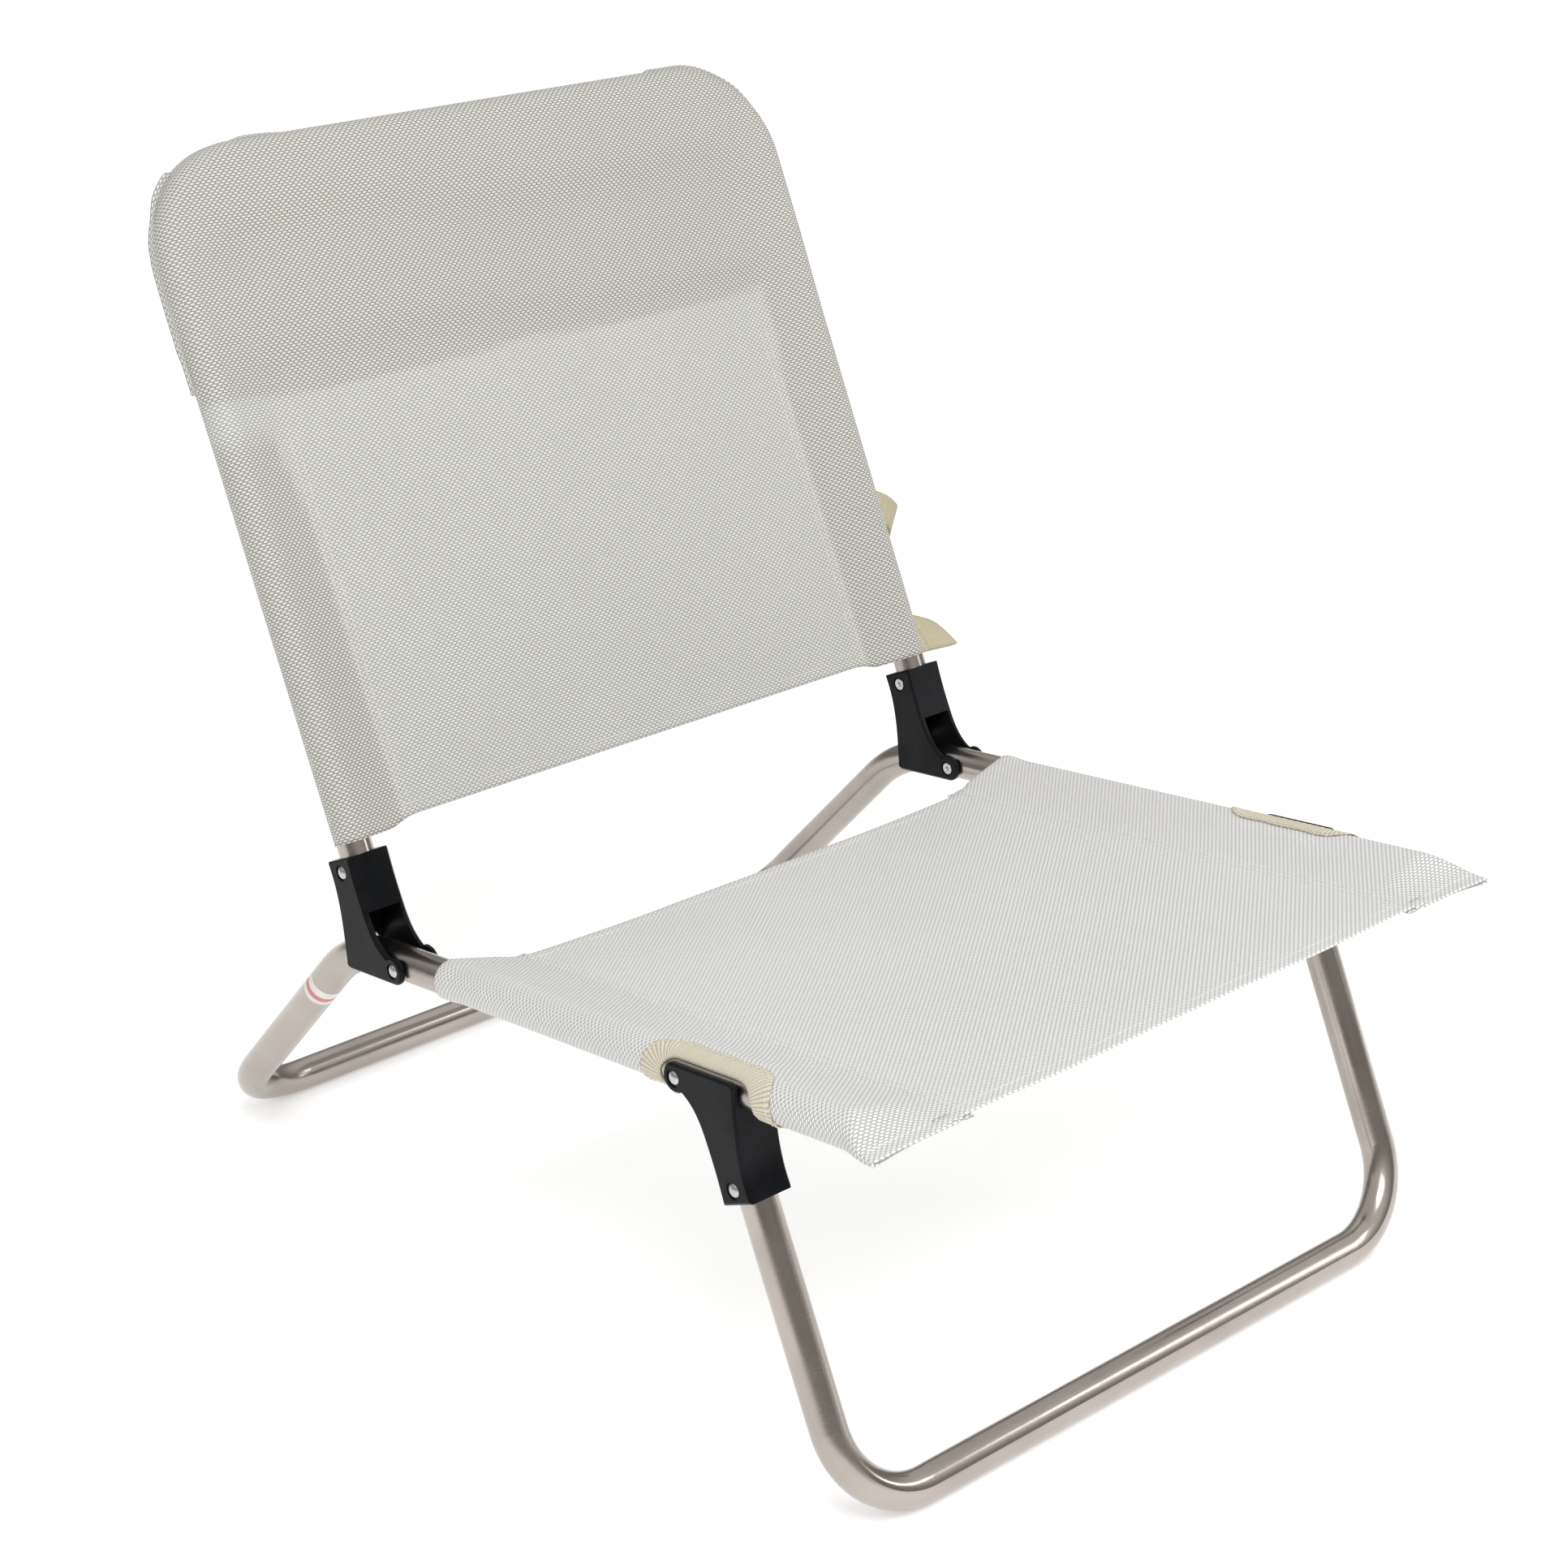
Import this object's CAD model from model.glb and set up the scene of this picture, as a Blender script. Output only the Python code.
"""Folding camp chair: cloth, stitching, finishes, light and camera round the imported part. Metres."""

import math

import bmesh
import bpy
import numpy as np
from mathutils import Matrix, Vector


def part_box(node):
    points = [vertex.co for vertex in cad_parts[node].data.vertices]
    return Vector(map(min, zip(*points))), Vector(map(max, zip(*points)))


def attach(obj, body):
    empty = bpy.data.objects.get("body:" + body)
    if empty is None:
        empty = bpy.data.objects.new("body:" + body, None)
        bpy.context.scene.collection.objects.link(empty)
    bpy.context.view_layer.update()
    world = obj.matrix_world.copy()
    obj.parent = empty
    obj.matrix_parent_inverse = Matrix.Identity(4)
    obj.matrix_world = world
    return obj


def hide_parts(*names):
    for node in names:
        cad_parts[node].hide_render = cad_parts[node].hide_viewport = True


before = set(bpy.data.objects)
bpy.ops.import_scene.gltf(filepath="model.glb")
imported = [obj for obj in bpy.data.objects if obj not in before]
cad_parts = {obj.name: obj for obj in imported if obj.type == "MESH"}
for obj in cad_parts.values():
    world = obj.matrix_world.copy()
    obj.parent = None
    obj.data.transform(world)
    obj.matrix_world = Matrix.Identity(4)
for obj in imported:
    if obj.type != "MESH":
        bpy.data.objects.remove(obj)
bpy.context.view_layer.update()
scene = bpy.context.scene
TWO_SIDES = ((-1, "left"), (1, "right"))

# ---- hardware sizes that the frame doesn't state ----
socket_offset = 0.024        # pivot to the axis of the back tube
plug_middle = 0.00575        # middle of a plug's length, behind the side tube's end
plug_flange = 0.0025

# ---- cloth cut and seams; across is from the middle of the cloth, along is from the pivots ----
cloth = 0.0007
sleeve_radius = 0.01145      # middle of the cloth's thickness, round a tube
seat_seam_inset = 0.046
seat_sleeve_start = 0.042
seat_panel_start = 0.0485
seat_panel_bow = 0.004
seat_panel_end = 0.4325
seat_flap_end = 0.436
flap_lip = 0.0017            # half the gap between the flap's two layers
flap_droop = 0.003
seat_sag = 0.0025
hem_turn = 0.009
hem_drop = 0.0009
sewn_under = np.array([0.004, 0.009])    # a sleeve's loose edge, past its seam
seam_drop = 0.0011           # the loose edge lies this far under the panel
back_seam_inset = 0.0365
back_sleeve_start = 0.082
back_panel_start = 0.0865
back_line = 0.361            # where the hood's rear flap starts to show through
hood_edge = 0.371
hood_radius = 0.0122
corner_radius = 0.060        # of the back tube's axis

# ---- bracket openings in the seat's sleeves, round the sleeve's girth ----
gap_behind = 0.017
gap_ahead = 0.064
gap_girth_start = 0.0545
gap_girth_end = 0.106
gap_corner = 0.014
binding_width = 0.0145
binding_thickness = 0.0007
binding_lift = 0.00105       # middle of the outer layer, over the middle of the cloth

# ---- carry strap ----
strap_width = 0.030
strap_thickness = 0.0015
strap_lower = 0.097
strap_upper = 0.187
strap_depth = 0.040
lower_loop = 0.1             # webbing in the lower loop, and then in the shorter upper one

# ---- stitches ----
stitch_lift = cloth * 0.55   # thread over the middle of the cloth
hem_stitch = 0.0085          # in from a hemmed edge
edge_stitch = 0.0028         # in from the binding's edge

# ---- camera ----
camera_lens = 71.559
camera_sensor = 36
camera_place = (-1.19778, -1.35159, 1.05730)
camera_turn = (-41.172, 23.235, -0.422)    # round the chair, above level, and tilted, in degrees


def centre(node):
    low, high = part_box(node)
    return (low + high) / 2


# ---- places, worked out from the frame ----
plug_low, plug_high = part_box("seat_tube_plug_right")
side_x = (plug_low.x + plug_high.x) / 2
tube_radius = (plug_high.x - plug_low.x) / 2
rear_pivot = centre("back_pivot_rivet_right")
front_pivot = centre("leg_pivot_rivet_right")
rise = math.atan2(front_pivot.z - rear_pivot.z, rear_pivot.y - front_pivot.y)
pivot_spacing = math.hypot(front_pivot.z - rear_pivot.z, rear_pivot.y - front_pivot.y)
tube_end = (rear_pivot.y - centre("seat_tube_plug_right").y) / math.cos(rise) + plug_middle
fixing = centre("back_fixing_rivet_right") - rear_pivot
fixing_height = math.sqrt(fixing.y**2 + fixing.z**2 - socket_offset**2)
tilt = math.atan2(fixing.y, fixing.z) - math.atan2(socket_offset, fixing_height)
foot_y = rear_pivot.y + socket_offset * math.cos(tilt)
foot_z = rear_pivot.z - socket_offset * math.sin(tilt)
top_bar_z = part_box("back_frame_tube")[1].z - tube_radius
back_length = (top_bar_z - foot_z) / math.cos(tilt)
seat_seam = side_x - seat_seam_inset
back_seam = side_x - back_seam_inset


def seat_place(x, along, up):
    """Points over the seat: across, forward from the rear pivot, and square to the side tubes."""
    x, along, up = np.broadcast_arrays(x, along, up)
    y = rear_pivot.y - along * math.cos(rise) + up * math.sin(rise)
    z = rear_pivot.z + along * math.sin(rise) + up * math.cos(rise)
    return np.stack([x, y, z], axis=-1)


def back_place(x, along, ahead):
    """Points on the back: across, up from the pivot level, and ahead of the side tubes' plane."""
    x, along, ahead = np.broadcast_arrays(x, along, ahead)
    y = foot_y + along * math.sin(tilt) - ahead * math.cos(tilt)
    z = foot_z + along * math.cos(tilt) + ahead * math.sin(tilt)
    return np.stack([x, y, z], axis=-1)


seat_up = seat_place(0, 0, 1) - seat_place(0, 0, 0)
back_out = back_place(0, 0, 1) - back_place(0, 0, 0)


def ease(value, start, end):
    """0 before start, 1 after end, and smooth between."""
    share = np.clip((np.asarray(value, float) - start) / (end - start), 0, 1)
    return share * share * (3 - 2 * share)


def runs(*stops):
    """Numbers through several stops: (start, end, steps) of each run, ends shared."""
    parts = [np.linspace(a, b, n, endpoint=False) for a, b, n in stops]
    return np.concatenate([*parts, [stops[-1][1]]])


# ---- meshes ----
def new_piece(name, mesh, body):
    piece = bpy.data.objects.new(name, mesh)
    scene.collection.objects.link(piece)
    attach(piece, body)
    return piece


class Cloth:
    """Gathers grids of points, with cloth coordinates and a mask of doubled cloth, into one mesh."""

    def __init__(self):
        self.points = []
        self.faces = []
        self.flat = []
        self.doubled = []
        self.count = 0

    def add(self, points, flat, doubled=0.0, keep=None, flip=False):
        rows, columns = points.shape[:2]
        index = self.count + np.arange(rows * columns).reshape(rows, columns)
        quads = np.stack([index[:-1, :-1], index[:-1, 1:], index[1:, 1:], index[1:, :-1]], axis=-1)
        quads = quads[keep] if keep is not None else quads.reshape(-1, 4)
        self.faces.append(quads[:, ::-1] if flip else quads)
        self.points.append(points.reshape(-1, 3))
        self.flat.append(flat.reshape(-1, 2))
        self.doubled.append(np.broadcast_to(doubled, (rows, columns)).reshape(-1))
        self.count += rows * columns

    def mesh(self, name, weld=0.0):
        points = np.concatenate(self.points)
        faces = np.concatenate(self.faces)
        mesh = bpy.data.meshes.new(name)
        mesh.from_pydata(points.tolist(), [], faces.tolist())
        flat = np.concatenate(self.flat)[faces.reshape(-1)]
        mesh.uv_layers.new(name="cloth")
        mesh.uv_layers["cloth"].uv.foreach_set("vector", flat.astype(np.float32).ravel())
        mask = mesh.attributes.new("doubled", "FLOAT", "POINT")
        mask.data.foreach_set("value", np.concatenate(self.doubled).astype(np.float32))
        build = bmesh.new()
        build.from_mesh(mesh)
        if weld:
            bmesh.ops.remove_doubles(build, verts=build.verts, dist=weld)
        loose = [v for v in build.verts if not v.link_faces]
        bmesh.ops.delete(build, geom=loose, context="VERTS")
        for face in build.faces:
            face.smooth = True
        build.to_mesh(mesh)
        build.free()
        return mesh


def thicken(piece, thickness):
    solid = piece.modifiers.new("thickness", "SOLIDIFY")
    solid.thickness = thickness
    solid.offset = 0


def section(girth, radius, inset, half_girth):
    """A sleeve's cross-section: places out from the seam and up, at distances round it from the seam.

    It is a circle round the tube with two tangents to the seam. As the circle shrinks the girth stays.
    """
    reach = inset * np.ones_like(radius)
    for _ in range(12):
        tangent = np.sqrt(np.maximum(reach**2 - radius**2, 1e-9))
        turn = np.arcsin(np.clip(radius / reach, -1, 1))
        reach = reach + half_girth - tangent - radius * (math.pi / 2 + turn)
    tangent = np.sqrt(np.maximum(reach**2 - radius**2, 1e-9))
    turn = np.arcsin(np.clip(radius / reach, -1, 1))
    arc = radius * (math.pi + 2 * turn)
    over = girth < tangent
    under = girth > tangent + arc
    angle = math.pi / 2 + turn - (girth - tangent) / np.maximum(radius, 1e-6)
    straight = np.where(over, girth, 2 * half_girth - girth)
    out = np.where(over | under, straight * np.cos(turn), reach + radius * np.cos(angle))
    up = np.where(over, 1, -1) * straight * np.sin(turn)
    up = np.where(over | under, up, radius * np.sin(angle))
    return out, up


def half_girth_of(radius, inset):
    turn = math.asin(radius / inset)
    return math.sqrt(inset**2 - radius**2) + radius * (math.pi / 2 + turn)


seat_half_girth = half_girth_of(sleeve_radius, seat_seam_inset)
back_half_girth = half_girth_of(sleeve_radius, back_seam_inset)


# ---- seat cloth ----
def seat_surface(across, along):
    """The right half of the seat cloth: across from the middle, round the sleeve and back to the seam."""
    across, along = np.broadcast_arrays(np.asarray(across, float), np.asarray(along, float))
    girth = across - seat_seam
    flat = ease(along, tube_end + plug_flange, seat_flap_end - 0.006)
    flare = hem_drop * (1 - ease(along, seat_sleeve_start + 0.006, seat_sleeve_start + 0.016))
    radius = (sleeve_radius + flare) * (1 - flat) + flap_lip * flat
    half_girth = seat_half_girth + flare * 2
    share = np.clip(girth / (2 * seat_half_girth), 0, 1) * 2 * half_girth
    out, up = section(share, radius, seat_seam_inset, half_girth)
    on_panel = girth < 0
    x = np.where(on_panel, across, seat_seam + out)
    middle = np.clip(across / seat_seam, 0, 1)
    sag = seat_sag * (1 - middle**2) * np.sin(math.pi * np.clip((along - 0.03) / 0.43, 0, 1)) ** 0.7
    ripple = 0.0005 * np.sin(across * 37 + along * 9) * np.sin(along * 23 + 1.3)
    panel_up = ripple - sag
    cheek = 0.0017 * np.exp(-(((x - side_x + 0.0145) / 0.0075) ** 2))
    cheek = cheek * ease(along, pivot_spacing - 0.045, pivot_spacing - 0.02)
    cheek = cheek * (1 - ease(along, pivot_spacing + 0.045, pivot_spacing + 0.07))
    lifted = np.where((girth > 0) & (girth < seat_half_girth), cheek, 0)
    up = np.where(on_panel, panel_up, up + lifted)
    droop = flap_droop * ease(along, tube_end, seat_flap_end) * (0.35 + 0.65 * ease(x, 0.15, 0.25))
    ear = 0.0012 * ease(x, side_x - 0.005, side_x + 0.018) * ease(along, tube_end + 0.012, seat_flap_end)
    return x, up - droop - ear


def seat_over(across, along, lift):
    """The seat cloth moved square to itself."""
    x, up = seat_surface(across, along)
    near_x, near_up = seat_surface(across - 0.0004, along)
    slope = np.stack([x - near_x, up - near_up])
    slope = slope / np.maximum(np.hypot(*slope), 1e-9)
    return x - slope[1] * lift, up + slope[0] * lift


def seat_rows(across):
    """Where the cloth starts and ends along the seat, for each place across it."""
    panel = 1 - ease(across, seat_seam - 0.012, seat_seam + 0.014)
    bow = seat_panel_bow * (1 - np.clip(across / seat_seam, 0, 1) ** 2)
    start = seat_sleeve_start + (seat_panel_start + bow - seat_sleeve_start) * panel
    on_panel = 1 - ease(across, seat_seam - 0.001, seat_seam + 0.001)
    under = ease(across, seat_seam + seat_half_girth, seat_seam + seat_half_girth + 0.01)
    end = seat_flap_end - (seat_flap_end - seat_panel_end) * on_panel - 0.0012 * under
    return start, end


def in_gap(girth, along, grow=0.0):
    """True inside a bracket opening, whose corners are rounded."""
    half_along = (gap_behind + gap_ahead) / 2
    half_girth = (gap_girth_end - gap_girth_start) / 2
    off_along = np.abs(along - (pivot_spacing + (gap_ahead - gap_behind) / 2)) - half_along + gap_corner
    off_girth = np.abs(girth - (gap_girth_start + gap_girth_end) / 2) - half_girth + gap_corner
    corner = np.hypot(np.maximum(off_along, 0), np.maximum(off_girth, 0))
    return corner + np.minimum(np.maximum(off_along, off_girth), 0) - gap_corner < grow


def seat_cloth():
    """The seat: its panel, both sleeves with their bracket openings, and the hems at both ends."""
    full = 2 * seat_half_girth
    right = seat_seam + runs((0, 0.0445, 12), (0.0445, full - 0.0445, 22), (full - 0.0445, full, 12))
    half = np.concatenate([runs((0, seat_seam, 42))[:-1], right])
    gather = Cloth()
    share = np.concatenate([runs((0, 0.06, 7), (0.06, 0.9, 92))[:-1], runs((0.9, 1, 20))])
    for side, _ in TWO_SIDES:
        start, end = seat_rows(half)
        along = start + share[:, None] * (end - start)
        across = np.broadcast_to(half, along.shape)
        x, up = seat_surface(across, along)
        # the rear and front hems turn in under the cloth
        turned = []
        for edge, inward in ((0, 1), (-1, -1)):
            for drop, back in ((0.5, -0.0006), (1, 0), (1, hem_turn * 0.5), (1, hem_turn)):
                turn_along = along[edge] + inward * back
                tx, tu = seat_over(half, turn_along, -drop * hem_drop)
                turned.append((edge, turn_along, tx, tu))
        rear = [t for t in turned if t[0] == 0][::-1]
        front = [t for t in turned if t[0] != 0]
        along = np.stack([t[1] for t in rear] + list(along) + [t[1] for t in front])
        x = np.stack([t[2] for t in rear] + list(x) + [t[2] for t in front])
        up = np.stack([t[3] for t in rear] + list(up) + [t[3] for t in front])
        across = np.broadcast_to(half, along.shape)
        # the sleeve's loose edge is sewn on under the panel
        under_x = np.broadcast_to(seat_seam - sewn_under, (len(along), 2))
        under_up = up[:, [np.searchsorted(half, seat_seam)] * 2] - seam_drop
        x = np.concatenate([x, under_x], axis=1)
        up[:, -1] = up[:, -1] - seam_drop
        up = np.concatenate([up, under_up], axis=1)
        along_all = np.concatenate([along, along[:, -1:], along[:, -1:]], axis=1)
        across_all = np.concatenate([across, across[:, -1:] + sewn_under], axis=1)
        points = seat_place(side * x, along_all, up)
        flat = np.stack([side * across_all, along_all], axis=-1)
        mid_girth = (across_all[:-1, :-1] + across_all[1:, 1:]) / 2 - seat_seam
        mid_along = (along_all[:-1, :-1] + along_all[1:, 1:]) / 2
        keep = ~in_gap(mid_girth, mid_along, 0.002)
        doubled = ease(across_all, seat_seam - 0.010, seat_seam - 0.006)
        gather.add(points, flat, doubled, keep, flip=side < 0)
    mesh = gather.mesh("seat_cloth", weld=0.00002)
    piece = new_piece("seat_cloth", mesh, "seat_frame")
    thicken(piece, cloth)
    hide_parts("seat_sling")
    return piece


def gap_outline(count):
    """Points round a bracket opening as (girth, along), with the outward direction at each."""
    low_along, high_along = pivot_spacing - gap_behind, pivot_spacing + gap_ahead
    low_girth, high_girth = gap_girth_start, gap_girth_end
    r = gap_corner
    corners = (
        (high_girth - r, high_along - r, 0),
        (low_girth + r, high_along - r, 90),
        (low_girth + r, low_along + r, 180),
        (high_girth - r, low_along + r, 270),
    )
    line = []
    for girth, along, start in corners:
        for degrees in np.linspace(start, start + 90, 13):
            angle = math.radians(degrees)
            line.append((girth + r * math.cos(angle), along + r * math.sin(angle)))
    line = np.array([*line, line[0]])
    steps = np.concatenate([[0], np.cumsum(np.hypot(*np.diff(line, axis=0).T))])
    at = np.linspace(0, steps[-1], count, endpoint=False)
    girth, along = np.interp(at, steps, line[:, 0]), np.interp(at, steps, line[:, 1])
    ahead = np.stack([np.roll(girth, -1) - np.roll(girth, 1), np.roll(along, -1) - np.roll(along, 1)])
    ahead = ahead / np.hypot(*ahead)
    return girth, along, ahead[1], -ahead[0], at


def gap_binding(side, word):
    """Webbing folded over the edge of a bracket opening and gathered round its corners."""
    count = 220
    girth, along, out_girth, out_along, at = gap_outline(count)
    profile = []
    for share in np.linspace(1, 0, 9):
        profile.append((share * binding_width, binding_lift))
    for degrees in (45, 90, 135):
        angle = math.radians(degrees)
        profile.append((-0.0012 * math.sin(angle), binding_lift * math.cos(angle)))
    for share in np.linspace(0, 0.85, 7):
        profile.append((share * binding_width, -0.00095))
    rows = []
    flats = []
    pucker = np.sin(at * 2 * math.pi / 0.0052 + 1.2 * np.sin(at * 90))
    for outward, lift in profile:
        share = outward / binding_width
        wave = 0.00028 * pucker * (0.35 + 0.65 * max(share, 0)) * (1 if lift > 0 else 0)
        edge = 0.0004 * np.sin(at * 210 + 0.7) * max(share, 0)
        g = girth + out_girth * (outward + edge)
        s = along + out_along * (outward + edge)
        x, up = seat_over(seat_seam + g, s, lift + wave)
        rows.append(seat_place(side * x, s, up))
        flats.append(np.stack([at, np.full(count, outward + (0.03 if lift < 0 else 0))], axis=-1))
    points = np.stack(rows)
    flat = np.stack(flats)
    points = np.concatenate([points, points[:, :1]], axis=1)
    flat = np.concatenate([flat, flat[:, :1] + [at[1] * count, 0]], axis=1)
    gather = Cloth()
    gather.add(points, flat, 0.0, flip=side > 0)
    piece = new_piece(f"gap_binding_{word}", gather.mesh(f"gap_binding_{word}", weld=0.00001), "seat_frame")
    thicken(piece, binding_thickness)
    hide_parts(f"seat_binding_{word}")
    return piece


# ---- back cloth ----
def outline_distance(x, along):
    """How far a place on the back lies outside the line of the frame's axis."""
    bend = back_length - corner_radius
    over_x, over_along = x - (side_x - corner_radius), along - bend
    in_corner = (over_x > 0) & (over_along > 0)
    corner = np.hypot(np.maximum(over_x, 0), np.maximum(over_along, 0)) - corner_radius
    return np.where(in_corner, corner, np.maximum(x - side_x, along - back_length))


def hood_waves(x, along):
    """The soft creases that run across the hood."""
    inside = ease(-outline_distance(np.abs(x), along), 0.004, 0.05)
    above = ease(along, back_line, back_line + 0.03)
    slow = 0.0040 * np.sin((along - 0.36) * 63 + 1.2 * x + 0.7 * np.sin(x * 11) - 0.32)
    quick = 0.0008 * np.sin((along - 0.36) * 130 - 8 * x + 1.0) * np.sin(x * 9 + 0.8)
    return inside * above * (slow + quick)


def edge_radius(along):
    """The back cloth's radius round the tube: wider in the hood than in the sleeves."""
    return sleeve_radius + (hood_radius - sleeve_radius) * ease(along, 0.33, 0.40)


def front_ahead(x, along):
    """How far ahead the front of the back cloth lies, for places on its right half."""
    out = np.clip((x - back_seam) / (side_x - back_seam), 0, 1.5)
    radius = edge_radius(along)
    turn = math.asin(sleeve_radius / back_seam_inset)
    slope = np.maximum(x - back_seam, 0) * math.tan(turn)
    crest = np.sqrt(np.maximum(radius**2 - (x - side_x) ** 2, 0))
    sleeve = np.where(x > side_x - radius * math.sin(turn), crest, np.minimum(slope, radius))
    distance = outline_distance(x, along)
    rounded = np.sqrt(np.maximum(radius**2 - np.maximum(distance, 0) ** 2, 0))
    lift = np.clip((along - back_line) / (back_length - 0.012 - back_line), 0, 1) ** 0.85
    level = sleeve + (radius - sleeve) * lift
    billow = 0.0006 * np.sin(x * 31 + along * 13) * np.sin(along * 17 + 0.4) * (out <= 0)
    edge = np.where(along > 0.44, rounded, np.minimum(rounded, level))
    return np.where(distance > 0, edge, level) + billow


def half_patch(rows_below, first_row):
    """The front of the back as a grid over its right half: rows go up, and columns from the middle out.

    Above the straight sides the grid bends to follow the frame's rounded corner.
    """
    radius = hood_radius
    columns = np.concatenate(
        [
            runs((0, side_x - 0.012, 48))[:-1],
            runs((side_x - 0.012, side_x, 4))[:-1],
            side_x + radius * np.sin(np.linspace(0, math.pi / 2, 9)),
        ]
    )
    straight_top = back_length - corner_radius - 0.02
    x_low = np.broadcast_to(columns, (len(rows_below), len(columns)))
    a_low = np.broadcast_to(rows_below[:, None], x_low.shape)
    # the rest is blended from its four edges: the last straight row, the middle, the side and the top
    up = np.concatenate(
        [
            np.linspace(0, 1, 20, endpoint=False) * (back_length - straight_top - 0.012),
            np.linspace(0, 1, 4, endpoint=False) * 0.012 + back_length - straight_top - 0.012,
            back_length - straight_top + radius * np.sin(np.linspace(0, math.pi / 2, 9)),
        ]
    )
    rows = up / up[-1]
    across = columns / columns[-1]
    outer = corner_radius + radius
    bend_x, bend_a = side_x - corner_radius, back_length - corner_radius

    def side_edge(t):
        straight = bend_a - straight_top
        arc = outer * math.pi / 4
        run = t * (straight + arc)
        angle = np.clip((run - straight) / outer, 0, None)
        x = np.where(run < straight, side_x + radius, bend_x + outer * np.cos(angle))
        a = np.where(run < straight, straight_top + run, bend_a + outer * np.sin(angle))
        return x, a

    def top_edge(t):
        straight = bend_x
        arc = outer * math.pi / 4
        run = t * (straight + arc)
        angle = math.pi / 2 - np.clip((run - straight) / outer, 0, None)
        x = np.where(run < straight, run, bend_x + outer * np.cos(angle))
        a = np.where(run < straight, back_length + radius, bend_a + outer * np.sin(angle))
        return x, a

    i, j = np.meshgrid(across, rows)
    side_x_at, side_a_at = side_edge(j)
    top_x_at, top_a_at = top_edge(i)
    low_x, low_a = i * columns[-1], straight_top
    mid_x, mid_a = 0.0, straight_top + j * (back_length + radius - straight_top)
    corner_x, corner_a = side_edge(np.array(1.0))
    blend_x = (1 - j) * low_x + j * top_x_at + (1 - i) * mid_x + i * side_x_at
    blend_x -= (1 - j) * i * columns[-1] + j * i * corner_x
    blend_a = (1 - j) * low_a + j * top_a_at + (1 - i) * mid_a + i * side_a_at
    blend_a -= (1 - j) * (1 - i) * straight_top + j * (1 - i) * (back_length + radius)
    blend_a -= (1 - j) * i * straight_top + j * i * corner_a
    x = np.concatenate([x_low, blend_x[1:]])
    a = np.concatenate([a_low, blend_a[1:]])
    return x[first_row:], a[first_row:]


def spread_round_edge(x, along):
    """Cloth coordinates of places on the back, counting the cloth that goes round the frame's edge."""
    distance = np.maximum(outline_distance(x, along), 0)
    extra = hood_radius * np.arcsin(np.clip(distance / hood_radius, 0, 1)) - distance
    bend_x, bend_a = side_x - corner_radius, back_length - corner_radius
    out_x, out_a = np.maximum(x - bend_x, 1e-6), np.maximum(along - bend_a, 1e-6)
    size = np.hypot(out_x, out_a)
    return x + extra * out_x / size, along + extra * out_a / size


def flap_slack(x, along, inside):
    """How far the hood's rear flap stands off behind the tube's girth, at a distance inside its edge."""
    waves = 0.0016 * np.sin(along * 60 + 2 + 6 * x) * ease(inside, 0.0, 0.05)
    return waves + 0.002 * ease(inside, 0.01, 0.12) * ease(0.44 - along, 0, 0.06)


def pull_to_sleeve(x, along):
    """Below the hood the sleeve is a little narrower than the hood."""
    narrow = np.where(along < 0.41, edge_radius(along) / hood_radius, 1.0)
    return np.where(x > side_x, side_x + (x - side_x) * narrow, x)


straight_rows = np.concatenate(
    [
        np.linspace(back_sleeve_start, 0.094, 5)[:-1],
        np.linspace(0.094, hood_edge, 72)[:-1],
        np.linspace(hood_edge, back_length - corner_radius - 0.02, 17),
    ]
)
flap_row = int(np.argmin(np.abs(straight_rows - hood_edge)))


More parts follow.
